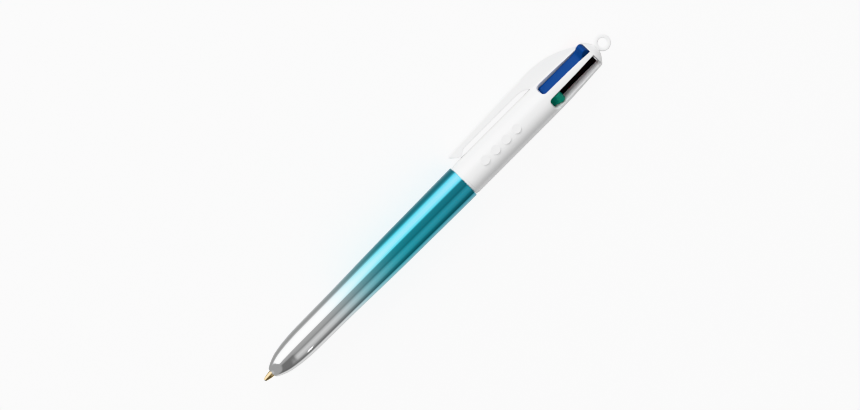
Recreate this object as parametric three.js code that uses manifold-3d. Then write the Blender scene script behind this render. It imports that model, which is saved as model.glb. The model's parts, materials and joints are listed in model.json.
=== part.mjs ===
// Four-colour click pen, lying on its side as it does on a desk.
// Millimetres. Each piece is drawn along +X, with the writing tip at x = 0 and the lanyard ring at the far
// end, and with the pocket clip towards +Z. The finished pen is then rolled over on to its side, with the
// pocket clip's edge level with the underside of the barrel.
import * as THREE from "three";
import { mergeVertices } from "three/addons/utils/BufferGeometryUtils.js";
import Module from "manifold-3d";

const wasm = await Module();
wasm.setup();

// Stations along the axis
const noseX = 3.3;
const barrelEndX = 84.6;
const bodyStartX = 84.8;
const ribStartX = 116;
const slotStartX = 119.4;
const bodyEndX = 138.7;
const capTopX = 140.8;
const ringCentreX = 143.46;

// Barrel
const barrelOuterR = 5.67;
const noseHoleR = 1.2;
const threadBoreR = 4.98;
const threadBoreX = 73.4;

// White upper body
const bodyOuterR = 5.5;
const bodyTailR = 4.72;
const bodyBoreR = 4.65;
const spigotX = 74.4;
const spigotOuterR = 4.72;
const spigotBoreR = 4.3;
const threadCrestR = 4.9;
const threadPitch = 1.5;
const threadCount = 4;
const slotHalfWidth = 2.1;
const slotCornerR = 1.0;

// Pocket clip
const clipHalfWidth = 2.2;
const clipRootX = 117.7;
const finStartX = 118;
const clipTipX = 86.4;
const clipTipZ = 8.4;
const clipSlope = 1.2 / 33.9;

// Lanyard ring
const ringOuterR = 2.64;
const ringHoleR = 1.35;
const ringHalfWidth = 0.85;

// Four refill stations round the axis, as angles from the clip
const stations = {
  blue: { angle: 55, pushed: false, paint: 0x0a4a9c, ink: 0x0b2c7a },
  green: { angle: 125, pushed: true, paint: 0x0b6e4f, ink: 0x0a5a3a },
  black: { angle: -125, pushed: false, paint: 0x1b1c1f, ink: 0x101014 },
  red: { angle: -55, pushed: false, paint: 0xc2182b, ink: 0x9c1020 },
};
const stationR = 2.8;
const travel = 14.7;

// Slider, at its retracted place
const shoulderX = 107.3;
const shoulderR = 1.45;
const pegX = 103.6;
const pegR = 0.6;
const pivotX = 105.3;
const deckStartX = 118.9;
const deckEndX = 138.5;
const deckBottomZ = 3.3;
const deckTopZ = 4.0;
const deckHalfWidth = 1.9;
const thumbTopZ = 6.1;
const latchLean = THREE.MathUtils.degToRad(1.8);

// Refill, measured from its own tip
const refillLength = Math.hypot(pivotX - travel, stationR);
const refillTilt = Math.asin(stationR / refillLength);
const ballR = 0.5;
const tipBodyR = 1.0;
const tubeStart = 9.2;
const tubeOuterR = 1.05;
const tubeBoreR = 0.8;
const tubeTailGap = 0.1;
const inkR = 0.72;
const inkStart = 13.4;
const inkEnd = 78;

// Spring guide and springs
const guideStartX = 81.2;
const guideEndX = 82.8;
const guideR = 4.2;
const guideHoleR = 1.22;
const guideHoleCentreR = 2.667;
const springMeanR = 1.24;
const springWireR = 0.11;
const springTurns = 9;

// The pen's roll on the desk: the clip's outer edge comes down level with the barrel's underside
const clipEdgeZ = clipTipZ + clipSlope * (clipRootX - clipTipX);
const clipEdgeReach = Math.hypot(clipEdgeZ, clipHalfWidth);
const clipDip = Math.asin(barrelOuterR / clipEdgeReach) - Math.atan2(clipHalfWidth, clipEdgeZ);
const roll = -(Math.PI / 2 + clipDip);

const roundSides = 32;
const smallSides = 16;
const weld = 1e-4;

// A closed geometry as a solid for joining and cutting
function solid(geometry) {
  const bare = geometry.index ? geometry.toNonIndexed() : geometry.clone();
  bare.deleteAttribute("normal");
  bare.deleteAttribute("uv");
  const merged = mergeVertices(bare, weld);
  const corners = merged.index.array;
  const kept = [];
  for (let i = 0; i < corners.length; i += 3) {
    const [a, b, c] = corners.slice(i, i + 3);
    if (a !== b && b !== c && c !== a) kept.push(a, b, c);
  }
  const places = merged.attributes.position.array;
  const point = (i) => new THREE.Vector3().fromArray(places, 3 * i);
  let volume = 0;
  for (let i = 0; i < kept.length; i += 3) {
    volume += point(kept[i]).dot(point(kept[i + 1]).cross(point(kept[i + 2])));
  }
  if (volume < 0) kept.reverse();
  const mesh = new wasm.Mesh({
    numProp: 3,
    vertProperties: Float32Array.from(places),
    triVerts: Uint32Array.from(kept),
  });
  return new wasm.Manifold(mesh);
}

function geometryOf(manifold) {
  const mesh = manifold.getMesh();
  const geometry = new THREE.BufferGeometry();
  geometry.setAttribute("position", new THREE.BufferAttribute(mesh.vertProperties, 3));
  geometry.setIndex(new THREE.BufferAttribute(mesh.triVerts, 1));
  geometry.computeVertexNormals();
  return geometry;
}

// A profile of [x, radius] points, turned about the X axis
function turned(profile, sides = roundSides) {
  const points = [...profile, profile[0]].map(([x, r]) => new THREE.Vector2(r, x));
  return solid(new THREE.LatheGeometry(points, sides).rotateZ(-Math.PI / 2));
}

// An outline of [x, z] points, made as wide as given across Y
function sideExtrusion(outline, width) {
  const shape = new THREE.Shape(outline.map(([x, z]) => new THREE.Vector2(x, z)));
  const block = new THREE.ExtrudeGeometry(shape, { depth: width, bevelEnabled: false });
  return solid(block.translate(0, 0, -width / 2).rotateX(Math.PI / 2));
}

// An outline of [y, z] points, run along the axis from startX to endX
function endExtrusion(outline, startX, endX) {
  const shape = new THREE.Shape(outline.map(([y, z]) => new THREE.Vector2(y, z)));
  const block = new THREE.ExtrudeGeometry(shape, { depth: endX - startX, bevelEnabled: false });
  return solid(block.rotateY(Math.PI / 2).rotateX(Math.PI / 2).translate(startX, 0, 0));
}

// A solid turned about the pen's axis to a station's angle
function atAngle(shape, degrees) {
  return shape.rotate([degrees, 0, 0]);
}

function piece(name, manifold, color, roughness, metalness) {
  const material = new THREE.MeshStandardMaterial({ color, roughness, metalness });
  const mesh = new THREE.Mesh(geometryOf(manifold), material);
  mesh.name = name;
  return mesh;
}

// Tapered barrel: a pointed nose with the tip's hole, and a bored rear end for the screw thread
function barrelShell() {
  const outside = [
    [noseX, 1.65],
    [4.05, 2.12],
    [4.8, 2.5],
    [6.3, 3.14],
    [7.8, 3.64],
    [9.3, 3.96],
    [10.8, 4.2],
    [12.3, 4.39],
    [15.3, 4.63],
    [18.3, 4.76],
    [36.3, 4.98],
    [45.3, 5.22],
    [54.3, 5.38],
    [72.3, 5.58],
    [79.5, barrelOuterR],
    [barrelEndX, barrelOuterR],
  ];
  const inside = [
    [barrelEndX, threadBoreR],
    [threadBoreX, threadBoreR],
    [threadBoreX - 0.5, 4.5],
    [36.3, 4.25],
    [18.3, 3.97],
    [15.3, 3.8],
    [12, 3.45],
    [4.6, noseHoleR + 0.1],
    [noseX, noseHoleR],
  ];
  return turned([...outside, ...inside]);
}

// Threaded spigot that the barrel screws on to
function spigotProfile() {
  const points = [[spigotX, spigotOuterR]];
  for (let i = 0; i < threadCount; i += 1) {
    const x = spigotX + 1.2 + i * threadPitch;
    points.push([x, spigotOuterR], [x + 0.35, threadCrestR], [x + 0.65, threadCrestR], [x + 1, spigotOuterR]);
  }
  points.push([bodyStartX, spigotOuterR]);
  return points;
}

// Fin that carries the clip's root, and the clip's outer line over it
function finOutline() {
  const outerZ = clipTipZ + clipSlope * (finStartX - clipTipX);
  return [
    [finStartX, 4.5],
    [136.4, 4.5],
    [137.3, 4.75],
    [136.4, 5.25],
    [134.1, 6.5],
    [131.1, 7.75],
    [128, 8.7],
    [124.8, 9.3],
    [121.5, 9.6],
    [finStartX, outerZ],
  ];
}

// One slot for a slider: open at the tail, with rounded front corners
function slotOpening() {
  const corner = slotHalfWidth - slotCornerR;
  const shape = new THREE.Shape();
  shape.moveTo(bodyEndX + 1, -slotHalfWidth);
  shape.lineTo(bodyEndX + 1, slotHalfWidth);
  shape.lineTo(slotStartX + slotCornerR, slotHalfWidth);
  shape.absarc(slotStartX + slotCornerR, corner, slotCornerR, Math.PI / 2, Math.PI, false);
  shape.lineTo(slotStartX, -corner);
  shape.absarc(slotStartX + slotCornerR, -corner, slotCornerR, Math.PI, 1.5 * Math.PI, false);
  const block = new THREE.ExtrudeGeometry(shape, { depth: 5, bevelEnabled: false, curveSegments: 4 });
  return solid(block.translate(0, 0, 3));
}

// White upper body: a tube in front, four ribs behind with a channel for each slider between them
function upperBody() {
  const shell = turned([
    ...spigotProfile(),
    [bodyStartX, 5.3],
    [bodyStartX + 0.8, bodyOuterR],
    [slotStartX + 3, bodyOuterR],
    [129, 5.24],
    [bodyEndX, bodyTailR],
    [bodyEndX, 0],
    [ribStartX, 0],
    [ribStartX, bodyBoreR],
    [bodyStartX + 1, bodyBoreR],
    [bodyStartX, spigotBoreR],
    [spigotX, spigotBoreR],
  ]);
  const core = turned([
    [ribStartX - 1, 0],
    [ribStartX - 1, bodyBoreR],
    [bodyEndX + 1, bodyBoreR],
    [bodyEndX + 1, 0],
  ]);
  const channelOutline = [
    [-slotHalfWidth, 0],
    [slotHalfWidth, 0],
    [slotHalfWidth, 8],
    [-slotHalfWidth, 8],
  ];
  const channel = endExtrusion(channelOutline, ribStartX - 1, bodyEndX + 1).intersect(core);
  let body = shell;
  for (const { angle } of Object.values(stations)) {
    body = body.subtract(atAngle(channel, angle)).subtract(atAngle(slotOpening(), angle));
  }
  return body.add(sideExtrusion(finOutline(), 2 * clipHalfWidth));
}

// Sprung arm of the pocket clip, with the bump that grips the pocket under its free end
function clipArm() {
  const outerZ = clipTipZ + clipSlope * (clipRootX - clipTipX);
  return sideExtrusion(
    [
      [clipTipX, clipTipZ - 0.9],
      [88.2, 6.3],
      [88.9, 5.78],
      [89.6, 5.72],
      [90.2, 6.0],
      [90.9, 6.6],
      [91.8, 6.85],
      [114.4, 6.9],
      [115.8, 6.7],
      [116.9, 6.25],
      [clipRootX, 5.75],
      [clipRootX, outerZ],
      [clipTipX + 0.5, clipTipZ + clipSlope * 0.5],
      [clipTipX, clipTipZ - 0.4],
    ],
    2 * clipHalfWidth,
  );
}

// Chamfered cap that closes the channels, with the lanyard ring on top of it
function tailCap() {
  const seat = bodyEndX + 0.1;
  const cone = turned([
    [seat - 2.6, 0],
    [seat - 2.6, 1.0],
    [seat - 2.3, 1.3],
    [seat, 1.3],
    [seat, bodyTailR - 0.05],
    [seat + 0.15, bodyTailR - 0.05],
    [capTopX, 2.25],
    [capTopX + 0.3, 1.9],
    [capTopX + 0.3, 0],
  ]);
  const edge = 0.35;
  const ring = new THREE.LatheGeometry(
    [
      [ringHoleR, -ringHalfWidth + edge],
      [ringHoleR + edge, -ringHalfWidth],
      [ringOuterR - edge, -ringHalfWidth],
      [ringOuterR, -ringHalfWidth + edge],
      [ringOuterR, ringHalfWidth - edge],
      [ringOuterR - edge, ringHalfWidth],
      [ringHoleR + edge, ringHalfWidth],
      [ringHoleR, ringHalfWidth - edge],
      [ringHoleR, -ringHalfWidth + edge],
    ].map(([r, y]) => new THREE.Vector2(r, y)),
    24,
  );
  return cone.add(solid(ring.translate(ringCentreX, 0, 0)));
}

// Disc inside the spigot: the springs stand on it and the refills run through its four holes
function springGuide() {
  let disc = turned([
    [guideStartX, 0],
    [guideStartX, guideR],
    [guideEndX, guideR],
    [guideEndX, 0],
  ]);
  const hole = turned(
    [
      [guideStartX - 1, 0],
      [guideStartX - 1, guideHoleR],
      [guideEndX + 1, guideHoleR],
      [guideEndX + 1, 0],
    ],
    smallSides,
  ).translate([0, 0, guideHoleCentreR]);
  for (const { angle } of Object.values(stations)) {
    disc = disc.subtract(atAngle(hole, angle));
  }
  return disc;
}

// Slider at its retracted place: deck and thumb piece in the slot, stem, shoulder and refill peg in front
function slider() {
  const deck = sideExtrusion(
    [
      [deckStartX, deckBottomZ],
      [deckEndX, deckBottomZ],
      [deckEndX, 4.7],
      [138.2, 5.6],
      [137.7, thumbTopZ],
      [137.0, thumbTopZ - 0.1],
      [136.0, 5.3],
      [135.0, 4.4],
      [133.6, deckTopZ],
      [deckStartX + 0.5, deckTopZ],
      [deckStartX, deckTopZ - 0.4],
    ],
    3 * deckHalfWidth,
  );
  const sides = [
    [-deckHalfWidth, deckBottomZ - 1],
    [deckHalfWidth, deckBottomZ - 1],
    [deckHalfWidth, deckTopZ - 0.1],
    [1.45, thumbTopZ + 0.1],
    [-1.45, thumbTopZ + 0.1],
    [-deckHalfWidth, deckTopZ - 0.1],
  ];
  const stem = sideExtrusion(
    [
      [shoulderX + 0.6, 2.3],
      [deckEndX - 1.2, 2.3],
      [deckEndX - 1.2, deckBottomZ + 0.3],
      [shoulderX + 0.6, deckBottomZ + 0.3],
    ],
    2,
  );
  const foot = turned(
    [
      [pegX, 0],
      [pegX, pegR - 0.15],
      [pegX + 0.3, pegR],
      [shoulderX, pegR],
      [shoulderX, shoulderR],
      [shoulderX + 1.2, shoulderR],
      [shoulderX + 1.2, 0],
    ],
    smallSides,
  ).translate([0, 0, stationR]);
  return deck.intersect(endExtrusion(sides, deckStartX - 1, deckEndX + 1)).add(stem).add(foot);
}

// Refill pieces: x = 0 is the pivot in the refill's tail, and the ball is at -refillLength
function tipPiece() {
  const profile = [
    [0.95, 0],
    [0.95, 0.54],
    [0.32, 0.54],
    [0.32, 0.6],
    [1.3, 0.66],
    [1.9, 0.72],
    [3.2, tipBodyR],
    [tubeStart - 0.1, tipBodyR],
    [tubeStart - 0.1, tubeBoreR - 0.04],
    [inkStart - 0.4, tubeBoreR - 0.04],
    [inkStart - 0.4, 0],
  ];
  return turned(profile.map(([x, r]) => [x - refillLength, r]), smallSides);
}

function tipBall() {
  const ball = new THREE.SphereGeometry(ballR, 12, 8).rotateZ(Math.PI / 2);
  return solid(ball.translate(ballR - refillLength, 0, 0));
}

function refillTube() {
  const startX = tubeStart - refillLength;
  const endX = shoulderX - pivotX - tubeTailGap;
  return turned(
    [
      [startX, tubeBoreR],
      [startX, tubeOuterR],
      [endX, tubeOuterR],
      [endX, tubeBoreR],
    ],
    smallSides,
  );
}

function inkColumn() {
  const profile = [
    [inkStart, 0],
    [inkStart, inkR],
    [inkEnd, inkR],
    [inkEnd, 0],
  ];
  return turned(profile.map(([x, r]) => [x - refillLength, r]), smallSides);
}

// Return spring on the refill, from the guide to the slider's shoulder
class SpringLine extends THREE.Curve {
  constructor(startX, endX) {
    super();
    this.startX = startX;
    this.endX = endX;
  }

  getPoint(t, target = new THREE.Vector3()) {
    const turn = 2 * Math.PI * springTurns * t;
    const x = this.startX + (this.endX - this.startX) * t;
    return target.set(x, springMeanR * Math.cos(turn), springMeanR * Math.sin(turn));
  }
}

function springCoil(startX, endX) {
  const wire = new THREE.Shape();
  wire.absarc(0, 0, springWireR, 0, 2 * Math.PI, false);
  const coil = new THREE.ExtrudeGeometry(wire, {
    steps: 8 * springTurns,
    curveSegments: 5,
    bevelEnabled: false,
    extrudePath: new SpringLine(startX, endX),
  });
  return solid(coil);
}

// One colour's slider, refill and spring, in a group turned to its station
function colourSet(name, { angle, pushed, paint, ink }) {
  const station = new THREE.Group();
  station.rotation.x = THREE.MathUtils.degToRad(angle);

  const carriage = new THREE.Group();
  carriage.position.set(pushed ? pivotX - travel : pivotX, 0, stationR);
  station.add(carriage);

  const lever = new THREE.Group();
  lever.rotation.y = pushed ? latchLean : 0;
  const sliderMesh = piece(`slider_${name}`, slider(), paint, 0.3, 0);
  sliderMesh.position.set(-pivotX, 0, -stationR);
  lever.add(sliderMesh);

  const refill = new THREE.Group();
  refill.rotation.y = pushed ? -refillTilt : 0;
  refill.add(
    piece(`refill_tube_${name}`, refillTube(), 0xd9dcdc, 0.5, 0),
    piece(`refill_tip_${name}`, tipPiece(), 0xc9a552, 0.25, 1),
    piece(`tip_ball_${name}`, tipBall(), 0x9a9ca0, 0.15, 1),
    piece(`ink_${name}`, inkColumn(), ink, 0.3, 0),
  );
  const springGap = 0.16;
  const springStart = guideEndX + springGap - carriage.position.x;
  const springEnd = shoulderX - pivotX - springGap;
  refill.add(piece(`spring_${name}`, springCoil(springStart, springEnd), 0xa8abb0, 0.25, 1));

  carriage.add(lever, refill);
  return station;
}

function penAlongX() {
  const pen = new THREE.Group();
  pen.add(
    piece("barrel", barrelShell(), 0x22949e, 0.2, 0.7),
    piece("upper_body", upperBody(), 0xf2f3f4, 0.25, 0),
    piece("clip_arm", clipArm(), 0xf0f1f2, 0.25, 0),
    piece("tail_cap", tailCap(), 0xeff0f1, 0.25, 0),
    piece("spring_guide", springGuide(), 0xe2e3e4, 0.45, 0),
  );
  for (const [name, station] of Object.entries(stations)) {
    pen.add(colourSet(name, station));
  }
  return pen;
}

// Rolled to its rest on the desk, then centred, with its lowest point at z = 0
function penAtRest() {
  const pen = penAlongX();
  pen.rotation.x = roll;
  const rest = new THREE.Group();
  rest.add(pen);
  rest.updateMatrixWorld(true);
  const box = new THREE.Box3().setFromObject(rest, true);
  const centre = box.getCenter(new THREE.Vector3());
  pen.position.set(-centre.x, -centre.y, -box.min.z);
  return rest;
}

export default penAtRest();
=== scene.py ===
import json
import math
import bmesh
import bpy
from mathutils import Matrix, Vector


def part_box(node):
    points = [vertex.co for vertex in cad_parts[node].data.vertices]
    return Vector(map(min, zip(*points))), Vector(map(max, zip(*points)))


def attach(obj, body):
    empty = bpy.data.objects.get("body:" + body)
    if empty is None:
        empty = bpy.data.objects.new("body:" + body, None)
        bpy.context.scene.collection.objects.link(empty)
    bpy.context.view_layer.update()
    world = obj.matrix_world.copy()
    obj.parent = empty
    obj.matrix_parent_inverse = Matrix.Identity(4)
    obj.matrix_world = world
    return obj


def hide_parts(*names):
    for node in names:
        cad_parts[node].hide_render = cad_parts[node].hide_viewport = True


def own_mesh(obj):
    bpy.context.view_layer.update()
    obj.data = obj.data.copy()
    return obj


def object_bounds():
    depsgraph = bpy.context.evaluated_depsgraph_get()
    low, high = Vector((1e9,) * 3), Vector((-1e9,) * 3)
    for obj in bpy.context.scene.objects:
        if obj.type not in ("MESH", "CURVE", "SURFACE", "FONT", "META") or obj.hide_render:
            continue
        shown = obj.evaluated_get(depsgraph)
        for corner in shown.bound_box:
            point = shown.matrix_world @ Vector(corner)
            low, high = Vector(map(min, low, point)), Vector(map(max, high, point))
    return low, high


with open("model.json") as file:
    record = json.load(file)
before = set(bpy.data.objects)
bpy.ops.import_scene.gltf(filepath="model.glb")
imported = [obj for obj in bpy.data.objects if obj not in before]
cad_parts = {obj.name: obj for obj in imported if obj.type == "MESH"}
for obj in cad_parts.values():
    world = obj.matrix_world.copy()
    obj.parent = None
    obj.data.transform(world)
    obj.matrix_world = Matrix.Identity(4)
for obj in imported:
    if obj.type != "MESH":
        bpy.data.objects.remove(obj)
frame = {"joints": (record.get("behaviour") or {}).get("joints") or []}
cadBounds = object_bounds()

# The pen is modelled straight, in millimetres: +X runs from the writing tip to the ring, and +Z to the clip.
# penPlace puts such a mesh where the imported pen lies.
barrelLow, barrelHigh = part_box("barrel")
tipLow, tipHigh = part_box("tip_ball_green")
across = Vector(next(j["axis"] for j in frame["joints"] if j["name"] == "clip_flex"))
clipWay = Vector((1, 0, 0)).cross(across)
axisPoint = Vector((tipLow.x, (barrelLow.y + barrelHigh.y) / 2, (barrelLow.z + barrelHigh.z) / 2))
penPlace = Matrix((
    (1, across.x, clipWay.x, axisPoint.x),
    (0, across.y, clipWay.y, axisPoint.y),
    (0, across.z, clipWay.z, axisPoint.z),
    (0, 0, 0, 1),
)) @ Matrix.Scale(0.001, 4)

stationAngles = {"blue": 55, "green": 125, "black": -125, "red": -55}
stationOut = 2.8


def aroundPen(degrees):
    # turns a shape made at the clip's side round to another side of the pen
    return Matrix.Rotation(math.radians(degrees), 4, "X")


def smoothLine(points, steps):
    # a soft line through the given points
    line = []
    last = len(points) - 1
    for i in range(last):
        before, here = Vector(points[max(i - 1, 0)]), Vector(points[i])
        there, after = Vector(points[i + 1]), Vector(points[min(i + 2, last)])
        for k in range(steps):
            t = k / steps
            a = 2 * here
            b = there - before
            c = 2 * before - 5 * here + 4 * there - after
            d = 3 * here - before - 3 * there + after
            line.append(tuple((a + b * t + c * t * t + d * t * t * t) / 2))
    line.append(tuple(points[-1]))
    return line


def arcPoints(x, z, radius, start, end, steps):
    turns = [math.radians(start + (end - start) * k / steps) for k in range(steps + 1)]
    return [(x + radius * math.cos(a), z + radius * math.sin(a)) for a in turns]


def turned(profile, steps=96, closed=True):
    # a profile of (x, radius) points spun about the pen's axis
    bm = bmesh.new()
    points = [bm.verts.new((x, 0, r)) for x, r in profile]
    pairs = list(zip(points, points[1:]))
    if closed:
        pairs.append((points[-1], points[0]))
    edges = [bm.edges.new(p) for p in pairs if p[0] != p[1]]
    bmesh.ops.spin(bm, geom=points + edges, cent=(0, 0, 0), axis=(1, 0, 0), angle=2 * math.pi,
                   steps=steps, use_merge=True, use_duplicate=False)
    bmesh.ops.remove_doubles(bm, verts=bm.verts, dist=1e-4)
    bmesh.ops.dissolve_degenerate(bm, edges=bm.edges, dist=1e-5)
    bmesh.ops.recalc_face_normals(bm, faces=bm.faces)
    return bm


def slab(outline, width):
    # an outline of (x, z) points made as wide as given across the pen
    bm = bmesh.new()
    face = bm.faces.new([bm.verts.new((x, -width / 2, z)) for x, z in outline])
    grown = bmesh.ops.extrude_face_region(bm, geom=[face])["geom"]
    bmesh.ops.translate(bm, verts=[v for v in grown if isinstance(v, bmesh.types.BMVert)], vec=(0, width, 0))
    bmesh.ops.recalc_face_normals(bm, faces=bm.faces)
    return bm


def bevelEdges(bm, edges, width, segments=3):
    bmesh.ops.bevel(bm, geom=edges, offset=width, offset_type="OFFSET", segments=segments, profile=0.5,
                    affect="EDGES", clamp_overlap=True, material=-1)


def asObject(name, bm):
    mesh = bpy.data.meshes.new(name)
    bm.to_mesh(mesh)
    bm.free()
    thing = bpy.data.objects.new(name, mesh)
    bpy.context.scene.collection.objects.link(thing)
    return thing


def combine(base, other, operation):
    # joins or cuts with another mesh, which is used up
    cutter = asObject("cutter", other)
    step = base.modifiers.new(operation.lower(), "BOOLEAN")
    step.object = cutter
    step.operation = operation
    step.solver = "EXACT"
    settle(base)
    bpy.data.objects.remove(cutter)


def settle(thing):
    # makes the modifiers' result the mesh itself
    graph = bpy.context.evaluated_depsgraph_get()
    shaped = bpy.data.meshes.new_from_object(thing.evaluated_get(graph))
    thing.modifiers.clear()
    thing.data = shaped


def cleaned(thing, dist=1e-4):
    bm = bmesh.new()
    bm.from_mesh(thing.data)
    bmesh.ops.remove_doubles(bm, verts=bm.verts, dist=dist)
    bmesh.ops.dissolve_degenerate(bm, edges=bm.edges, dist=dist)
    bm.to_mesh(thing.data)
    bm.free()


def roundedEdges(thing, width, segments=3, degrees=32):
    soft = thing.modifiers.new("soft edges", "BEVEL")
    soft.width = width
    soft.segments = segments
    soft.limit_method = "ANGLE"
    soft.angle_limit = math.radians(degrees)
    soft.miter_outer = "MITER_ARC"
    settle(thing)


def finish(thing, body, nodes, material, smoothAngle=35, place=None, weighted=False):
    # puts a finished mesh in its place on the pen and ties it to its body
    if place is not None:
        thing.data.transform(place)
    thing.data.transform(penPlace)
    thing.data.materials.clear()
    thing.data.materials.append(material)
    for face in thing.data.polygons:
        face.use_smooth = True
    thing.data.set_sharp_from_angle(angle=math.radians(smoothAngle))
    if weighted:
        even = thing.modifiers.new("even shading", "WEIGHTED_NORMAL")
        even.keep_sharp = True
        even.weight = 100
        settle(thing)
    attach(thing, body)
    if nodes:
        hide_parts(*nodes)
    return thing


def nodeIn(tree, kind, x=0, y=0, **values):
    node = tree.nodes.new(kind)
    node.location = (x, y)
    for name, value in values.items():
        if name in node.inputs:
            node.inputs[name].default_value = value
        else:
            setattr(node, name, value)
    return node


def mouldedGroup():
    # moulded plastic's faint waviness and handling marks, from Object coordinates
    group = bpy.data.node_groups.new("mouldedSurface", "ShaderNodeTree")
    face = group.interface
    for name, start in (("Waviness", 1.0), ("Gloss", 0.2), ("Marks", 0.1)):
        socket = face.new_socket(name=name, in_out="INPUT", socket_type="NodeSocketFloat")
        socket.default_value = start
    tint = face.new_socket(name="Color", in_out="INPUT", socket_type="NodeSocketColor")
    tint.default_value = (0.8, 0.8, 0.8, 1)
    face.new_socket(name="Color", in_out="OUTPUT", socket_type="NodeSocketColor")
    face.new_socket(name="Roughness", in_out="OUTPUT", socket_type="NodeSocketFloat")
    face.new_socket(name="Height", in_out="OUTPUT", socket_type="NodeSocketFloat")
    given = nodeIn(group, "NodeGroupInput", -900, 0)
    out = nodeIn(group, "NodeGroupOutput", 700, 0)
    place = nodeIn(group, "ShaderNodeTexCoord", -900, 300)
    link = group.links.new

    waves = nodeIn(group, "ShaderNodeTexNoise", -600, 400, Scale=260.0, Detail=2.0, Roughness=0.4)
    link(place.outputs["Object"], waves.inputs["Vector"])
    grain = nodeIn(group, "ShaderNodeTexNoise", -600, 200, Scale=2600.0, Detail=3.0, Roughness=0.6)
    link(place.outputs["Object"], grain.inputs["Vector"])
    height = nodeIn(group, "ShaderNodeMath", -350, 300, operation="MULTIPLY_ADD")
    link(grain.outputs["Fac"], height.inputs[0])
    height.inputs[1].default_value = 0.12
    link(waves.outputs["Fac"], height.inputs[2])
    scaled = nodeIn(group, "ShaderNodeMath", -100, 300, operation="MULTIPLY")
    link(height.outputs[0], scaled.inputs[0])
    link(given.outputs["Waviness"], scaled.inputs[1])
    link(scaled.outputs[0], out.inputs["Height"])

    smudge = nodeIn(group, "ShaderNodeTexNoise", -600, 0, Scale=90.0, Detail=5.0, Roughness=0.62, Distortion=0.6)
    link(place.outputs["Object"], smudge.inputs["Vector"])
    handled = nodeIn(group, "ShaderNodeMapRange", -350, 0)
    handled.inputs["From Min"].default_value = 0.45
    handled.inputs["From Max"].default_value = 0.75
    link(smudge.outputs["Fac"], handled.inputs["Value"])
    rough = nodeIn(group, "ShaderNodeMath", -100, 0, operation="MULTIPLY_ADD")
    link(handled.outputs["Result"], rough.inputs[0])
    link(given.outputs["Marks"], rough.inputs[1])
    link(given.outputs["Gloss"], rough.inputs[2])
    link(rough.outputs[0], out.inputs["Roughness"])

    darker = nodeIn(group, "ShaderNodeMix", 300, -200, data_type="RGBA", blend_type="MULTIPLY")
    link(given.outputs["Color"], darker.inputs["A"])
    darker.inputs["B"].default_value = (0.955, 0.96, 0.965, 1)
    shade = nodeIn(group, "ShaderNodeMath", 100, -300, operation="MULTIPLY", use_clamp=True)
    link(handled.outputs["Result"], shade.inputs[0])
    shade.inputs[1].default_value = 0.6
    link(shade.outputs[0], darker.inputs["Factor"])
    link(darker.outputs["Result"], out.inputs["Color"])
    return group


moulded = mouldedGroup()


def plainMaterial(name):
    material = bpy.data.materials.new(name)
    material.use_nodes = True
    tree = material.node_tree
    shader = next(n for n in tree.nodes if n.type == "BSDF_PRINCIPLED")
    return material, tree, shader


def addMoulded(tree, shader, color, waviness, gloss, marks, bumpDistance):
    surface = nodeIn(tree, "ShaderNodeGroup", -500, 0)
    surface.node_tree = moulded
    surface.inputs["Waviness"].default_value = waviness
    surface.inputs["Gloss"].default_value = gloss
    surface.inputs["Marks"].default_value = marks
    surface.inputs["Color"].default_value = (*color, 1)
    bump = nodeIn(tree, "ShaderNodeBump", -250, -300, Strength=0.6, Distance=bumpDistance)
    tree.links.new(surface.outputs["Height"], bump.inputs["Height"])
    tree.links.new(bump.outputs["Normal"], shader.inputs["Normal"])
    tree.links.new(surface.outputs["Roughness"], shader.inputs["Roughness"])
    tree.links.new(surface.outputs["Color"], shader.inputs["Base Color"])
    return surface


def mouldedPlastic(name, look):
    material, tree, shader = plainMaterial(name)
    addMoulded(tree, shader, look["color"], 1.0, look["gloss"], look["marks"], 0.00002)
    shader.inputs["IOR"].default_value = 1.5
    shader.inputs["Specular IOR Level"].default_value = look.get("shine", 0.5)
    shader.inputs["Coat Weight"].default_value = look.get("coat", 0.0)
    shader.inputs["Coat Roughness"].default_value = 0.05
    return material


plasticLooks = {
    "whitePlastic": {"color": (0.86, 0.86, 0.86), "gloss": 0.16, "marks": 0.08, "coat": 1.0},
    "bluePlastic": {"color": (0.0, 0.034, 0.168), "gloss": 0.34, "marks": 0.12, "shine": 0.25},
    "greenPlastic": {"color": (0.014, 0.27, 0.185), "gloss": 0.28, "marks": 0.12, "shine": 0.4},
    "blackPlastic": {"color": (0.006, 0.006, 0.0065), "gloss": 0.3, "marks": 0.12, "shine": 0.4},
    "redPlastic": {"color": (0.42, 0.006, 0.012), "gloss": 0.3, "marks": 0.12, "shine": 0.4},
    "guidePlastic": {"color": (0.7, 0.71, 0.71), "gloss": 0.42, "marks": 0.1},
}
plastics = {name: mouldedPlastic(name, look) for name, look in plasticLooks.items()}


metallisedLook = {
    # distance from the writing tip in millimetres, and the lacquer's colour there
    "stops": [
        (0, (0.86, 0.86, 0.86)),
        (24, (0.88, 0.88, 0.88)),
        (32, (0.78, 0.84, 0.86)),
        (41, (0.3, 0.72, 0.8)),
        (52, (0.01, 0.52, 0.64)),
        (62, (0.0, 0.44, 0.56)),
        (85, (0.0, 0.36, 0.49)),
    ],
    "length": 85.0,
    "gloss": 0.05,
    "marks": 0.035,
}


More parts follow.
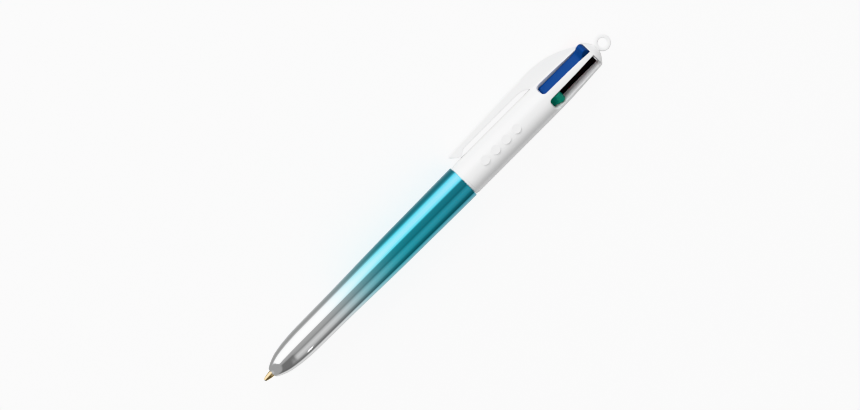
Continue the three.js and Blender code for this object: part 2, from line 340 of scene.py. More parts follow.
def metallisedLacquer():
    # a metal film under clear lacquer, tinted more and more deeply from the nose to the rear
    look = metallisedLook
    material, tree, shader = plainMaterial("metallisedLacquer")
    surface = addMoulded(tree, shader, (1, 1, 1), 0.6, look["gloss"], look["marks"], 0.000015)
    place = nodeIn(tree, "ShaderNodeTexCoord", -1300, 200)
    along = nodeIn(tree, "ShaderNodeMapping", -1100, 200)
    along.vector_type = "TEXTURE"
    along.inputs["Location"].default_value = (axisPoint.x, axisPoint.y, axisPoint.z)
    along.inputs["Scale"].default_value = (look["length"] / 1000,) * 3
    tree.links.new(place.outputs["Object"], along.inputs["Vector"])
    split = nodeIn(tree, "ShaderNodeSeparateXYZ", -900, 200)
    tree.links.new(along.outputs["Vector"], split.inputs["Vector"])
    fade = nodeIn(tree, "ShaderNodeValToRGB", -700, 200)
    ramp = fade.color_ramp
    ramp.interpolation = "B_SPLINE"
    for i, (distance, color) in enumerate(look["stops"]):
        spot = distance / look["length"]
        stop = ramp.elements[i] if i < 2 else ramp.elements.new(spot)
        stop.position = spot
        stop.color = (*color, 1)
    tree.links.new(split.outputs["X"], fade.inputs["Fac"])
    tree.links.new(fade.outputs["Color"], surface.inputs["Color"])
    shader.inputs["Metallic"].default_value = 1.0
    shader.inputs["Coat Weight"].default_value = 1.0
    shader.inputs["Coat IOR"].default_value = 1.8
    shader.inputs["Coat Roughness"].default_value = 0.03
    return material


def metalFinish(name, color, gloss, streak, scale):
    # turned or drawn metal with fine lines round the axis
    material, tree, shader = plainMaterial(name)
    place = nodeIn(tree, "ShaderNodeTexCoord", -1100, 0)
    stretch = nodeIn(tree, "ShaderNodeMapping", -900, 0)
    stretch.inputs["Scale"].default_value = (scale, scale * 0.04, scale * 0.04)
    tree.links.new(place.outputs["Object"], stretch.inputs["Vector"])
    lines = nodeIn(tree, "ShaderNodeTexNoise", -700, 0, Scale=1.0, Detail=4.0, Roughness=0.6)
    tree.links.new(stretch.outputs["Vector"], lines.inputs["Vector"])
    rough = nodeIn(tree, "ShaderNodeMapRange", -450, -100)
    rough.inputs["To Min"].default_value = gloss - streak
    rough.inputs["To Max"].default_value = gloss + streak
    tree.links.new(lines.outputs["Fac"], rough.inputs["Value"])
    tree.links.new(rough.outputs["Result"], shader.inputs["Roughness"])
    tone = nodeIn(tree, "ShaderNodeMix", -450, 200, data_type="RGBA")
    tone.inputs["A"].default_value = (*[c * 0.82 for c in color], 1)
    tone.inputs["B"].default_value = (*color, 1)
    tree.links.new(lines.outputs["Fac"], tone.inputs["Factor"])
    tree.links.new(tone.outputs["Result"], shader.inputs["Base Color"])
    bump = nodeIn(tree, "ShaderNodeBump", -250, -300, Strength=0.25, Distance=0.00001)
    tree.links.new(lines.outputs["Fac"], bump.inputs["Height"])
    tree.links.new(bump.outputs["Normal"], shader.inputs["Normal"])
    shader.inputs["Metallic"].default_value = 1.0
    return material


def milkyTube():
    material, tree, shader = plainMaterial("milkyTube")
    addMoulded(tree, shader, (0.8, 0.82, 0.83), 0.5, 0.3, 0.1, 0.00001)
    shader.inputs["Transmission Weight"].default_value = 0.55
    shader.inputs["IOR"].default_value = 1.45
    return material


def inkMaterial(name, color):
    material, tree, shader = plainMaterial(name)
    addMoulded(tree, shader, color, 0.3, 0.12, 0.1, 0.00001)
    return material


lacquer = metallisedLacquer()
brass = metalFinish("turnedBrass", (0.72, 0.57, 0.33), 0.1, 0.05, 9000)
steelWire = metalFinish("springWire", (0.6, 0.61, 0.63), 0.24, 0.06, 6000)
ballSteel = metalFinish("ballSteel", (0.55, 0.56, 0.58), 0.1, 0.03, 9000)
tubePlastic = milkyTube()
inks = {
    "blue": inkMaterial("blueInk", (0.005, 0.012, 0.16)),
    "green": inkMaterial("greenInk", (0.002, 0.08, 0.04)),
    "black": inkMaterial("blackInk", (0.004, 0.004, 0.006)),
    "red": inkMaterial("redInk", (0.3, 0.006, 0.012)),
}
print("materials done")


barrelSizes = {
    "outside": [
        (3.3, 1.68), (4.05, 2.2), (4.8, 2.6), (6.3, 3.24), (7.8, 3.72), (9.3, 4.04), (10.8, 4.27), (12.3, 4.46),
        (15.3, 4.7), (18.3, 4.81), (26, 4.91), (36.3, 5.05), (45.3, 5.27), (54.3, 5.44), (63, 5.55), (72.3, 5.65),
        (79.5, 5.72), (84.5, 5.74),
    ],
    "rimX": 84.6,
    "rimRadius": 5.74,
    "rimRound": 0.1,
    "bore": 4.98,
    "boreStart": 73.4,
    "inside": [(72.9, 4.5), (36.3, 4.25), (18.3, 3.97), (15.3, 3.8), (12, 3.45), (4.6, 1.32)],
    "hole": 1.2,
}


def makeBarrel():
    size = barrelSizes
    outside = smoothLine(size["outside"], 5)
    rim = arcPoints(size["rimX"] - size["rimRound"], size["rimRadius"] - size["rimRound"], size["rimRound"], 80, 0, 4)
    inner = [(size["rimX"], 5.15), (size["rimX"] - 0.17, size["bore"])]
    inner += [(size["boreStart"], size["bore"])] + size["inside"]
    lip = [(3.42, size["hole"]), (3.24, size["hole"] + 0.06), (3.22, 1.32)]
    return asObject("barrelShell", turned(outside + rim + inner + lip, 128))


finish(makeBarrel(), "barrel", ["barrel"], lacquer, 40)
print("barrel done")


bodySizes = {
    "start": 84.7,
    "outer": 5.62,
    "collar": 5.48,
    "collarEnd": 85.5,
    "taper": [(122, 5.58), (126, 5.46), (130, 5.27), (134, 5.03), (138.7, 4.74)],
    "slotStart": 119.65,
    "end": 138.7,
    "bore": 4.65,
    "ribStart": 116,
    "spigotStart": 74.4,
    "spigotOuter": 4.72,
    "spigotBore": 4.3,
    "slotHalf": 2.1,
    "slotCorner": 1.25,
    "flareStart": 4.72,
    "flareGrowth": 0.3,
    "finHalf": 2.2,
    "threadStart": 76.2,
    "threadPitch": 1.5,
    "threadTurns": 4,
    "threadCrest": 4.9,
}
finOuter = [(118, 9.8), (121.5, 9.84), (124.8, 9.6), (128, 8.98), (131.1, 8.0), (134.1, 6.66), (136.4, 5.32),
            (137.7, 4.45)]


def slotCutter():
    size = bodySizes
    half, corner, front = size["slotHalf"] + 0.02, size["slotCorner"], size["slotStart"]
    outline = [(size["end"] + 1, -half)]
    outline += arcPoints(front + corner, -half + corner, corner, 270, 180, 6)
    outline += arcPoints(front + corner, half - corner, corner, 180, 90, 6)
    outline += [(size["end"] + 1, half)]
    bm = bmesh.new()
    base = bm.faces.new([bm.verts.new((x, y, 3)) for x, y in outline])
    levels = [(size["flareStart"], 0), (6.2, size["flareGrowth"] * 2)]
    top = base
    height = 3
    for level, growth in levels:
        grown = bmesh.ops.extrude_face_region(bm, geom=[top])["geom"]
        corners = [v for v in grown if isinstance(v, bmesh.types.BMVert)]
        if top != base:
            bmesh.ops.delete(bm, geom=[top], context="FACES_ONLY")
        top = next(f for f in grown if isinstance(f, bmesh.types.BMFace))
        bmesh.ops.translate(bm, verts=corners, vec=(0, 0, level - height))
        middle = Vector((size["end"] + 1, 0, level))
        length = size["end"] + 1 - front
        wider = Matrix.Diagonal((1 + growth / length, 1 + growth / half * 0.6, 1, 1))
        bmesh.ops.transform(bm, matrix=wider, verts=corners, space=Matrix.Translation(-middle))
        height = level
    bmesh.ops.recalc_face_normals(bm, faces=bm.faces)
    return bm


def channelCutter():
    size = bodySizes
    half = size["slotHalf"]
    start, end = size["ribStart"] - 1, size["end"] + 1
    channel = asObject("channel", slab([(start, 0), (end, 0), (end, 5), (start, 5)], 2 * half))
    reach = size["bore"] - 0.01
    core = [(start - 1, 0), (start - 1, reach), (end + 1, reach), (end + 1, 0)]
    combine(channel, turned(core, 96), "INTERSECT")
    bm = bmesh.new()
    bm.from_mesh(channel.data)
    bpy.data.objects.remove(channel)
    return bm


def makeUpperBody():
    size = bodySizes
    outside = [(size["spigotStart"], size["spigotBore"]), (size["spigotStart"], size["spigotOuter"] - 0.15),
               (size["spigotStart"] + 0.15, size["spigotOuter"]), (size["start"], size["spigotOuter"])]
    outside += arcPoints(size["start"] + 0.12, size["collar"] - 0.12, 0.12, 180, 90, 3)
    outside += [(size["collarEnd"] - 0.1, size["collar"]), (size["collarEnd"], size["outer"] - 0.05),
                (size["collarEnd"] + 0.1, size["outer"])]
    outside += [(86.4 + 3.26 * k, size["outer"]) for k in range(10)]  # even rings along the straight part
    outside += smoothLine([(119, size["outer"])] + size["taper"], 3)
    inside = [(size["end"], 0), (size["ribStart"], 0), (size["ribStart"], size["bore"]),
              (size["start"] + 1, size["bore"]), (size["start"], size["spigotBore"])]
    body = asObject("upperBody", turned(outside + inside, 96))
    fin = [(118, 4.4), (136.5, 4.4)] + smoothLine(finOuter, 4)[::-1]
    finShape = slab(fin, 2 * size["finHalf"])
    outerEdges = [e for e in finShape.edges
                  if abs(e.verts[0].co.y - e.verts[1].co.y) < 1e-5 and min(v.co.z for v in e.verts) > 4.42
                  and abs(e.verts[0].co.x - e.verts[1].co.x) > 1e-4]
    bevelEdges(finShape, outerEdges, 0.45, 4)
    combine(body, finShape, "UNION")
    for angle in stationAngles.values():
        channel = channelCutter()
        bmesh.ops.transform(channel, matrix=aroundPen(angle), verts=channel.verts)
        combine(body, channel, "DIFFERENCE")
        opening = slotCutter()
        bmesh.ops.transform(opening, matrix=aroundPen(angle), verts=opening.verts)
        combine(body, opening, "DIFFERENCE")
    cleaned(body)
    roundedEdges(body, 0.14, 2, 38)
    return body


def makeThread():
    # the raised screw thread round the spigot
    size = bodySizes
    steps = 48 * size["threadTurns"]
    root, crest = size["spigotOuter"] - 0.1, size["threadCrest"]
    bm = bmesh.new()
    section = [(-0.36, root), (-0.14, crest), (0.14, crest), (0.36, root)]
    ridge = bm.faces.new([bm.verts.new((size["threadStart"] + x, 0, r)) for x, r in section])
    bmesh.ops.spin(bm, geom=[ridge], cent=(0, 0, 0), axis=(1, 0, 0), angle=2 * math.pi * size["threadTurns"],
                   dvec=(size["threadPitch"] * size["threadTurns"] / steps, 0, 0), steps=steps, use_duplicate=False)
    bmesh.ops.recalc_face_normals(bm, faces=bm.faces)
    return asObject("spigotThread", bm)


finish(makeThread(), "pen_body", [], plastics["whitePlastic"], 30)
finish(makeUpperBody(), "pen_body", ["upper_body"], plastics["whitePlastic"], 40, weighted=True)
print("upper body done")


clipSizes = {
    "half": 2.203,
    "outer": [(86.8, 8.68), (95, 9.02), (104, 9.38), (112, 9.66), (117.9, 9.8), (118.7, 9.81)],
    "under": [(118.7, 5.2), (118.2, 5.5), (117.6, 5.82), (116.9, 6.22), (115.9, 6.62), (114.6, 6.84), (113, 6.9),
              (92.2, 6.86), (91.2, 6.72), (90.5, 6.3), (89.9, 5.86), (89.2, 5.7), (88.5, 5.92), (87.7, 6.55),
              (86.5, 7.6), (86.15, 8.2)],
    "edgeRound": 0.45,
}


def makeClip():
    size = clipSizes
    outline = size["outer"] + size["under"]
    shape = slab(outline, 2 * size["half"])
    longEdges = [e for e in shape.edges
                 if abs(e.verts[0].co.y - e.verts[1].co.y) < 1e-5 and min(v.co.x for v in e.verts) < 118.65]
    bevelEdges(shape, longEdges, size["edgeRound"], 4)
    bmesh.ops.triangulate(shape, faces=[f for f in shape.faces if len(f.verts) > 4])
    return asObject("clipArm", shape)


finish(makeClip(), "clip", ["clip_arm"], plastics["whitePlastic"], 40, weighted=True)
print("clip done")


capSizes = {
    "seat": 138.74,
    "rim": 4.67,
    "top": 140.8,
    "topRadius": 2.25,
    "ringCentre": 143.46,
    "ringMiddle": 1.995,
    "ringThick": 0.7,
    "ringWide": 0.85,
}


def squared(value):
    # turns a circle's outline into a square one with soft corners
    return math.copysign(abs(value) ** 0.62, value)


def makeTailCap():
    size = capSizes
    profile = [(138.35, 0), (138.35, 1.1), (138.5, 1.3), (size["seat"], 1.3), (size["seat"], size["rim"] - 0.06)]
    profile += [(size["seat"] + 0.05, size["rim"]), (size["seat"] + 0.2, size["rim"] - 0.02)]
    profile += [(139.4, 4.1), (140.0, 3.36), (140.55, 2.66), (size["top"], size["topRadius"])]
    profile += [(141.0, 1.85), (141.1, 1.3), (141.1, 0)]
    cap = asObject("tailCap", turned(profile, 96))
    ring = bmesh.new()
    turns = [2 * math.pi * k / 24 for k in range(24)]
    section = [(size["ringMiddle"] + size["ringThick"] * squared(math.cos(a)),
                size["ringWide"] * squared(math.sin(a))) for a in turns]
    loop = [ring.verts.new((r, y, 0)) for r, y in section]
    edges = [ring.edges.new((loop[i], loop[(i + 1) % len(loop)])) for i in range(len(loop))]
    bmesh.ops.spin(ring, geom=loop + edges, cent=(0, 0, 0), axis=(0, 1, 0), angle=2 * math.pi, steps=64,
                   use_merge=True, use_duplicate=False)
    bmesh.ops.remove_doubles(ring, verts=ring.verts, dist=1e-4)
    bmesh.ops.recalc_face_normals(ring, faces=ring.faces)
    bmesh.ops.translate(ring, verts=ring.verts, vec=(size["ringCentre"], 0, 0))
    combine(cap, ring, "UNION")
    cleaned(cap)
    roundedEdges(cap, 0.12, 2, 34)
    return cap


emblemSizes = {"along": (93.6, 98, 102.4, 106.8), "side": 90, "radius": 1.5, "rise": 0.09, "edge": 0.07}


def makeEmblem():
    # four low round buttons in a row
    size = emblemSizes
    bm = bmesh.new()
    for spot in size["along"]:
        button = bmesh.ops.create_cone(bm, cap_ends=True, segments=40, radius1=size["radius"],
                                       radius2=size["radius"], depth=1)["verts"]
        bmesh.ops.translate(bm, verts=button, vec=(spot, 0, bodySizes["outer"] + size["rise"] - 0.5))
    rims = [e for e in bm.edges if e.calc_face_angle(0) > 1 and min(v.co.z for v in e.verts) > bodySizes["outer"]]
    bevelEdges(bm, rims, size["edge"], 3)
    return asObject("emblemDots", bm)


finish(makeEmblem(), "pen_body", [], plastics["whitePlastic"], 60,
       aroundPen(emblemSizes["side"]), weighted=True)
finish(makeTailCap(), "pen_body", ["tail_cap"], plastics["whitePlastic"], 40)
print("tail cap done")


sliderSizes = {
    "half": 1.9,
    "deckStart": 118.9,
    "deckEnd": 138.62,
    "deckBottom": 3.3,
    "deckTop": 4.0,
    "thumbTop": 6.1,
    "thumbHalf": 1.55,
    "thumb": [(133.9, 4.0), (135.0, 4.25), (135.85, 4.9), (136.55, 5.68), (137.3, 6.08), (137.95, 5.92)],
    "shoulder": 107.3,
    "shoulderRadius": 1.45,
    "peg": 103.6,
    "pegRadius": 0.6,
    "travel": 14.7,
    "pivot": 105.3,
    "latchLean": 1.8,
}


def makeSlider(name):
    size = sliderSizes
    ramp = smoothLine(size["thumb"], 3)
    outline = [(size["deckStart"], size["deckBottom"]), (size["deckEnd"], size["deckBottom"]), (size["deckEnd"], 4.7),
               (138.35, 5.35)] + ramp[::-1]
    outline += [(128, 4.0), (124, 4.0), (120.5, size["deckTop"]), (119.7, 3.7), (118.9, 3.4)]
    deck = slab(outline, 2 * size["half"])
    for v in deck.verts:
        rise = max(0, v.co.z - 3.9) / (size["thumbTop"] - 3.9)
        v.co.y *= 1 - rise * (1 - size["thumbHalf"] / size["half"])
    rims = [e for e in deck.edges if e.calc_face_angle(0) > math.radians(40)
            and min(v.co.z for v in e.verts) > size["deckBottom"] + 0.1]
    bevelEdges(deck, rims, 0.26, 4)
    slider = asObject(name, deck)
    stem = slab([(size["shoulder"] + 0.6, 2.3), (137.3, 2.3), (137.3, 3.6), (size["shoulder"] + 0.6, 3.6)], 2)
    combine(slider, stem, "UNION")
    foot = turned([(size["peg"], 0), (size["peg"], 0.42), (size["peg"] + 0.3, size["pegRadius"]),
                   (size["shoulder"], size["pegRadius"]), (size["shoulder"], size["shoulderRadius"]),
                   (size["shoulder"] + 1.2, size["shoulderRadius"]), (size["shoulder"] + 1.2, 0)], 32)
    bmesh.ops.translate(foot, verts=foot.verts, vec=(0, 0, stationOut))
    combine(slider, foot, "UNION")
    cleaned(slider)
    return slider


def pushedPlace(lean):
    # where a pushed slider or refill stands: slid forward, and turned about its pivot
    size = sliderSizes
    pivot = Vector((size["pivot"], 0, stationOut))
    forward = Matrix.Translation(pivot - Vector((size["travel"], 0, 0)))
    return forward @ Matrix.Rotation(math.radians(lean), 4, "Y") @ Matrix.Translation(-pivot)


for colour, angle in stationAngles.items():
    lean = pushedPlace(sliderSizes["latchLean"]) if colour == "green" else Matrix.Identity(4)
    finish(makeSlider(f"{colour}Slider"), f"slider_{colour}", [f"slider_{colour}"],
           plastics[f"{colour}Plastic"], 40, aroundPen(angle) @ lean, weighted=True)
print("sliders done")


refillSizes = {
    "tip": [(0.33, 0.53), (0.31, 0.56), (0.5, 0.62), (0.9, 0.72), (1.4, 0.85), (2.0, 0.97), (2.7, 1.07), (3.3, 1.08),
            (3.5, 1.0), (3.6, 0.94), (3.95, 0.94), (4.05, 1.0), (9.1, 1.0), (9.1, 0.76), (13.0, 0.76), (13.0, 0)],
    "socket": [(0.95, 0), (0.95, 0.54)],
    "ball": 0.5,
    "tubeStart": 9.2,
    "tubeOuter": 1.05,
    "tubeBore": 0.8,
    "tubeEnd": 1.9,
    "ink": [(13.4, 0), (13.4, 0.72), (77.5, 0.72), (77.9, 0.6), (77.6, 0.3), (77.5, 0)],
}
refillLength = math.hypot(sliderSizes["pivot"] - sliderSizes["travel"], stationOut)
refillTilt = math.degrees(math.asin(stationOut / refillLength))


def refillPlace(colour):
    pivot = Matrix.Translation(Vector((sliderSizes["pivot"], 0, stationOut)))
    if colour == "green":
        pivot = pushedPlace(-refillTilt) @ pivot
    return aroundPen(stationAngles[colour]) @ pivot


def fromTip(points):
    return [(x - refillLength, r) for x, r in points]


def makeRefill(colour):
    size = refillSizes
    body = f"refill_{colour}"
    place = refillPlace(colour)
    tip = asObject(f"{colour}Tip", turned(fromTip(size["socket"] + size["tip"]), 48))
    finish(tip, body, [f"refill_tip_{colour}"], brass, 28, place)
    ball = bmesh.new()
    bmesh.ops.create_uvsphere(ball, u_segments=24, v_segments=16, radius=size["ball"])
    bmesh.ops.translate(ball, verts=ball.verts, vec=(size["ball"] - refillLength, 0, 0))
    finish(asObject(f"{colour}Ball", ball), body, [f"tip_ball_{colour}"], ballSteel, 60, place)
    start, end, outer = size["tubeStart"] - refillLength, size["tubeEnd"], size["tubeOuter"]
    wall = [(start, size["tubeBore"]), (start, outer - 0.06), (start + 0.06, outer),
            (end - 0.05, outer), (end, outer - 0.05), (end, size["tubeBore"])]
    tube = asObject(f"{colour}Tube", turned(wall, 40))
    finish(tube, body, [f"refill_tube_{colour}"], tubePlastic, 40, place)
    ink = asObject(f"{colour}Ink", turned(fromTip(size["ink"]), 32))
    finish(ink, body, [f"ink_{colour}"], inks[colour], 40, place)


for colour in stationAngles:
    makeRefill(colour)
print("refills done")


springSizes = {
    "guideStart": 81.2,
    "guideEnd": 82.8,
    "guideRadius": 4.2,
    "holeRadius": 1.22,
    "holeOut": 2.667,
    "coil": 1.24,
    "wire": 0.11,
    "turns": 9,
    "gap": 0.16,
    "keep": 0.39,
}


def makeGuide():
    size = springSizes
    edge = 0.2
    disc = turned([(size["guideStart"], 0), (size["guideStart"], size["guideRadius"] - edge),
                   (size["guideStart"] + edge, size["guideRadius"]), (size["guideEnd"] - edge, size["guideRadius"]),
                   (size["guideEnd"], size["guideRadius"] - edge), (size["guideEnd"], 0)], 96)
    guide = asObject("springGuide", disc)
    for angle in stationAngles.values():
        hole = turned([(80, 0), (80, size["holeRadius"]), (84, size["holeRadius"]), (84, 0)], 40)
        bmesh.ops.translate(hole, verts=hole.verts, vec=(0, 0, size["holeOut"]))
        bmesh.ops.transform(hole, matrix=aroundPen(angle), verts=hole.verts)
        combine(guide, hole, "DIFFERENCE")
    cleaned(guide)
    return guide


def makeSpring(colour):
    size = springSizes
    reach = -sliderSizes["travel"] if colour == "green" else 0
    start = size["guideEnd"] + size["gap"] - (sliderSizes["pivot"] + reach)
    end = sliderSizes["shoulder"] - sliderSizes["pivot"] - size["gap"]
    stepsPerTurn = 20
    steps = stepsPerTurn * size["turns"]
    bm = bmesh.new()
    ring = bmesh.ops.create_circle(bm, cap_ends=True, segments=8, radius=size["wire"])["verts"]
    bmesh.ops.rotate(bm, verts=ring, cent=(0, 0, 0), matrix=Matrix.Rotation(math.pi / 2, 3, "X"))
    bmesh.ops.translate(bm, verts=ring, vec=(start, 0, size["coil"]))
    bmesh.ops.spin(bm, geom=list(bm.faces), cent=(0, 0, 0), axis=(1, 0, 0), dvec=((end - start) / steps, 0, 0),
                   angle=2 * math.pi * size["turns"], steps=steps, use_duplicate=False)
    bmesh.ops.recalc_face_normals(bm, faces=bm.faces)
    spring = asObject(f"{colour}Spring", bm)
    finish(spring, "pen_body", [f"spring_{colour}"], steelWire, 60, refillPlace(colour))
    if colour != "green":
        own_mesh(spring)


finish(makeGuide(), "pen_body", ["spring_guide"], plastics["guidePlastic"], 40)
for colour in stationAngles:
    makeSpring(colour)
print("guide and springs done")


studio = {
    "viewAngle": 67.5,
    "distance": 1.5,
    "frameWidth": 0.258,
    "sensor": 36,
    "aimRight": -0.00194,
    "aimUp": 0.00106,
    "floorGlow": 1.25,
    "worldGlow": 0.56,
    "keyAngle": 24,
    "keyPower": 13,
    "keyDistance": 1.0,
    "keyWidth": 0.7,
    "keyLength": 1.6,
}


def makeCamera():
    toward = Vector((0, math.cos(math.radians(studio["viewAngle"])), math.sin(math.radians(studio["viewAngle"]))))
    along = Vector((1, 0, 0))
    beside = toward.cross(along)
    right = (along - beside).normalized()
    up = (along + beside).normalized()
    middle = Vector(((cadBounds[0].x + cadBounds[1].x) / 2, axisPoint.y, axisPoint.z))
    spot = middle + toward * studio["distance"] + right * studio["aimRight"] + up * studio["aimUp"]
    lens = bpy.data.cameras.new("camera")
    lens.sensor_width = studio["sensor"]
    lens.lens = studio["sensor"] * studio["distance"] / studio["frameWidth"]
    lens.clip_end = 20
    camera = bpy.data.objects.new("camera", lens)
    turn = Matrix((right, up, toward)).transposed().to_4x4()
    camera.matrix_world = Matrix.Translation(spot) @ turn
    bpy.context.scene.collection.objects.link(camera)
    bpy.context.scene.camera = camera


def makeFloor():
    # a pale sheet that glows for the camera alone, bounces light on to the pen and is hidden from reflections
    bm = bmesh.new()
    bmesh.ops.create_grid(bm, x_segments=2, y_segments=2, size=3)
    floor = asObject("floor", bm)
    material, tree, shader = plainMaterial("paleFloor")
    shader.inputs["Base Color"].default_value = (0.9, 0.9, 0.9, 1)
    shader.inputs["Roughness"].default_value = 0.9
    shader.inputs["Specular IOR Level"].default_value = 0.1
    output = next(n for n in tree.nodes if n.type == "OUTPUT_MATERIAL")
    glow = nodeIn(tree, "ShaderNodeEmission", 0, -600, Strength=studio["floorGlow"])
    seen = nodeIn(tree, "ShaderNodeLightPath", 0, 600)
    both = nodeIn(tree, "ShaderNodeAddShader", 200, -300)
    tree.links.new(shader.outputs["BSDF"], both.inputs[0])
    tree.links.new(glow.outputs["Emission"], both.inputs[1])
    mixed = nodeIn(tree, "ShaderNodeMixShader", 400, 0)
    tree.links.new(seen.outputs["Is Camera Ray"], mixed.inputs["Fac"])
    tree.links.new(shader.outputs["BSDF"], mixed.inputs[1])
    tree.links.new(both.outputs["Shader"], mixed.inputs[2])
    tree.links.new(mixed.outputs["Shader"], output.inputs["Surface"])
    floor.data.materials.append(material)
    floor.visible_glossy = False


# angle round the pen from the +Y side towards the top, and how bright the tent is there
tentPanels = [
    (-180, 0.8), (-150, 0.75), (-112, 0.55), (-70, 0.6), (-60, 0.42), (-33, 0.38), (-25, 0.5), (-15, 0.95), (-5, 2.1),
    (6, 3.7), (18, 5.2), (31, 5.0), (43, 2.6), (48, 1.6), (52, 1.0), (56, 0.48),
]
tentSizes = {
    "radius": 0.5,
    "length": 2.4,
    "brightest": 6.0,
    "glow": tentPanels + [
        (83, 0.42), (89, 0.33), (94, 0.35), (101, 0.58), (115, 0.72), (137, 0.58), (148, 0.33), (162, 0.23),
        (170, 0.15), (174, 0.4), (178, 0.75),
    ],
    # the same where the rays leave past the writing end: the side panels stop first, then the main one
    "frontGlow": tentPanels + [
        (76, 0.42), (86, 0.22), (140, 0.22), (160, 0.2), (170, 0.15), (174, 0.4), (178, 0.75),
    ],
    "sidePanelEnd": -0.195,
    "mainPanelEnd": -0.46,
    "panelFade": 0.04,
    "pastEnds": 0.42,
}


def makeTent():
    # a long tube of graded panels round the pen, seen only in its reflections
    size = tentSizes
    bm = bmesh.new()
    bmesh.ops.create_cone(bm, cap_ends=False, segments=128, radius1=size["radius"], radius2=size["radius"],
                          depth=size["length"])
    bmesh.ops.transform(bm, matrix=Matrix.Rotation(math.pi / 2, 4, "Y"), verts=bm.verts)
    bmesh.ops.translate(bm, verts=bm.verts, vec=(0, axisPoint.y, axisPoint.z))
    tent = asObject("lightTent", bm)
    material, tree, shader = plainMaterial("tentGlow")
    tree.nodes.remove(shader)
    output = next(n for n in tree.nodes if n.type == "OUTPUT_MATERIAL")
    place = nodeIn(tree, "ShaderNodeTexCoord", -1000, 0)
    centred = nodeIn(tree, "ShaderNodeMapping", -800, 0)
    centred.inputs["Location"].default_value = (0, -axisPoint.y, -axisPoint.z)
    tree.links.new(place.outputs["Object"], centred.inputs["Vector"])
    split = nodeIn(tree, "ShaderNodeSeparateXYZ", -600, 0)
    tree.links.new(centred.outputs["Vector"], split.inputs["Vector"])
    angle = nodeIn(tree, "ShaderNodeMath", -400, 0, operation="ARCTAN2")
    tree.links.new(split.outputs["Z"], angle.inputs[0])
    tree.links.new(split.outputs["Y"], angle.inputs[1])
    part = nodeIn(tree, "ShaderNodeMapRange", -200, 0)
    part.inputs["From Min"].default_value = -math.pi
    part.inputs["From Max"].default_value = math.pi
    tree.links.new(angle.outputs[0], part.inputs["Value"])
    panels = []
    for row, name in enumerate(("glow", "frontGlow")):
        fade = nodeIn(tree, "ShaderNodeValToRGB", 0, -300 * row)
        ramp = fade.color_ramp
        for i, (degrees, glow) in enumerate(size[name]):
            spot = (degrees + 180) / 360
            stop = ramp.elements[i] if i < 2 else ramp.elements.new(spot)
            stop.position = spot
            stop.color = (glow / size["brightest"],) * 3 + (1,)
        tree.links.new(part.outputs["Result"], fade.inputs["Fac"])
        panels.append(fade)
    sides = nodeIn(tree, "ShaderNodeMix", 300, 0, data_type="RGBA")
    ends = nodeIn(tree, "ShaderNodeMix", 500, 0, data_type="RGBA")
    for mix, edge in ((sides, size["sidePanelEnd"]), (ends, size["mainPanelEnd"])):
        reached = nodeIn(tree, "ShaderNodeMapRange", 0, 300, interpolation_type="SMOOTHSTEP")
        reached.inputs["From Min"].default_value = edge - size["panelFade"]
        reached.inputs["From Max"].default_value = edge + size["panelFade"]
        tree.links.new(split.outputs["X"], reached.inputs["Value"])
        tree.links.new(reached.outputs["Result"], mix.inputs["Factor"])
    tree.links.new(panels[1].outputs["Color"], sides.inputs["A"])
    tree.links.new(panels[0].outputs["Color"], sides.inputs["B"])
    ends.inputs["A"].default_value = (size["pastEnds"] / size["brightest"],) * 3 + (1,)
    tree.links.new(sides.outputs["Result"], ends.inputs["B"])
    light = nodeIn(tree, "ShaderNodeEmission", 700, 0, Strength=size["brightest"])
    tree.links.new(ends.outputs["Result"], light.inputs["Color"])
    tree.links.new(light.outputs["Emission"], output.inputs["Surface"])
    tent.data.materials.append(material)
    onlyReflected(tent)


glintSizes = {"along": -0.1035, "angle": 148, "out": 0.48, "length": 0.025, "width": 0.036, "power": 5.0}


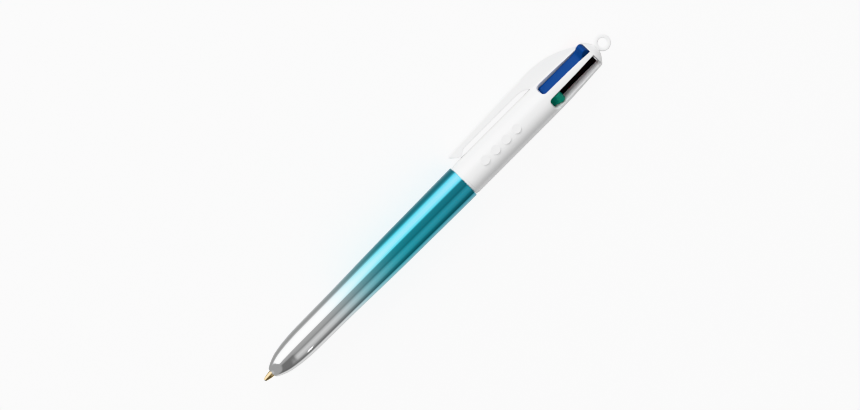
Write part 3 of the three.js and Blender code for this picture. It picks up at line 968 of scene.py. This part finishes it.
def makeGlint():
    # a small bright card beside the nose, seen only in reflections
    size = glintSizes
    bm = bmesh.new()
    bmesh.ops.create_grid(bm, x_segments=1, y_segments=1, size=0.5)
    bmesh.ops.scale(bm, verts=bm.verts, vec=(size["length"], size["width"], 1))
    bmesh.ops.translate(bm, verts=bm.verts, vec=(size["along"], 0, size["out"]))
    turn = Matrix.Rotation(math.radians(size["angle"] - 90), 3, "X")
    bmesh.ops.rotate(bm, verts=bm.verts, cent=(0, 0, 0), matrix=turn)
    bmesh.ops.translate(bm, verts=bm.verts, vec=(0, axisPoint.y, axisPoint.z))
    card = asObject("glintCard", bm)
    material, tree, shader = plainMaterial("cardGlow")
    shader.inputs["Base Color"].default_value = (0, 0, 0, 1)
    shader.inputs["Emission Color"].default_value = (1, 1, 1, 1)
    shader.inputs["Emission Strength"].default_value = size["power"]
    card.data.materials.append(material)
    onlyReflected(card)


def onlyReflected(thing):
    thing.visible_camera = False
    thing.visible_diffuse = False
    thing.visible_transmission = False
    thing.visible_shadow = False


def softLight(name, angle, distance, width, length, power):
    # a long soft light beside the pen, at an angle above the +Y side
    light = bpy.data.lights.new(name, "AREA")
    light.shape = "RECTANGLE"
    light.size = length
    light.size_y = width
    light.energy = power
    lamp = bpy.data.objects.new(name, light)
    a = math.radians(angle)
    spot = Vector((0, math.cos(a), math.sin(a))) * distance
    sideways = Vector((0, math.sin(a), -math.cos(a)))
    turn = Matrix((Vector((1, 0, 0)), sideways, spot.normalized())).transposed().to_4x4()
    lamp.matrix_world = Matrix.Translation(spot) @ turn
    lamp.visible_glossy = False
    bpy.context.scene.collection.objects.link(lamp)


def makeWorld():
    world = bpy.data.worlds.new("studio")
    bpy.context.scene.world = world
    world.use_nodes = True
    back = next(n for n in world.node_tree.nodes if n.type == "BACKGROUND")
    back.inputs["Color"].default_value = (1, 1, 1, 1)
    back.inputs["Strength"].default_value = studio["worldGlow"]


makeCamera()
makeFloor()
makeWorld()
makeTent()
makeGlint()
softLight("keyLight", studio["keyAngle"], studio["keyDistance"], studio["keyWidth"], studio["keyLength"],
          studio["keyPower"])
bpy.context.scene.view_settings.view_transform = "Khronos PBR Neutral"
print("studio done")
